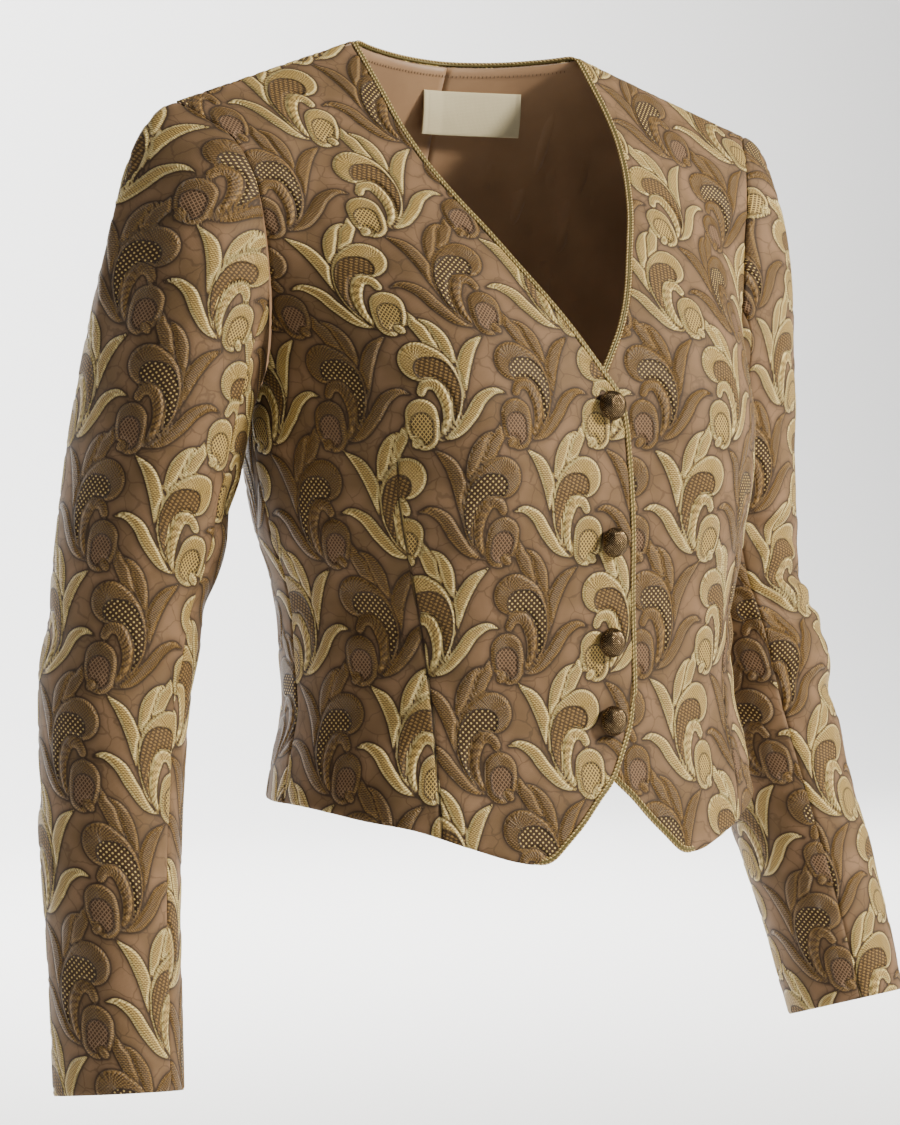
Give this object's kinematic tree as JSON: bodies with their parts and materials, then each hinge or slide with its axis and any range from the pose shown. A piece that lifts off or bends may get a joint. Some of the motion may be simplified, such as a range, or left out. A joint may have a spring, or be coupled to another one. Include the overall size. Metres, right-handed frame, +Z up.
{
  "type": "bolero jacket",
  "caption": "Cropped fitted bolero jacket as worn, hollow, with a deep V neck, piped edges, domed buttons down the front and long two-piece sleeves.",
  "frame": {"origin": "midway between the two points where the shoulder seams meet the neck edge, where the wearer's shoulders hold the jacket", "axes": "+Z up; the jacket faces -Y; +X is the wearer's left"},
  "size_m": [0.6023, 0.2482, 0.6355],
  "materials": {
    "brocade": "embossed jacquard, satin gold figures on a matt taupe brown ground",
    "satin": "satin lining",
    "cream_cloth": "woven label, bare",
    "gold_cord": "twisted cord",
    "antique_brass": "dark antique, knurled"
  },
  "bodies": {
    "root": {"front_right": "brocade", "front_left": "brocade", "back_right": "brocade", "back_left": "brocade", "sleeve_right_top": "brocade", "sleeve_right_under": "brocade", "sleeve_left_top": "brocade", "sleeve_left_under": "brocade", "lining_back_right": "satin", "lining_back_left": "satin", "label": "cream_cloth", "piping": "gold_cord", "button_1": "antique_brass", "button_2": "antique_brass", "button_3": "antique_brass", "button_4": "antique_brass"}
  },
  "joints": []
}
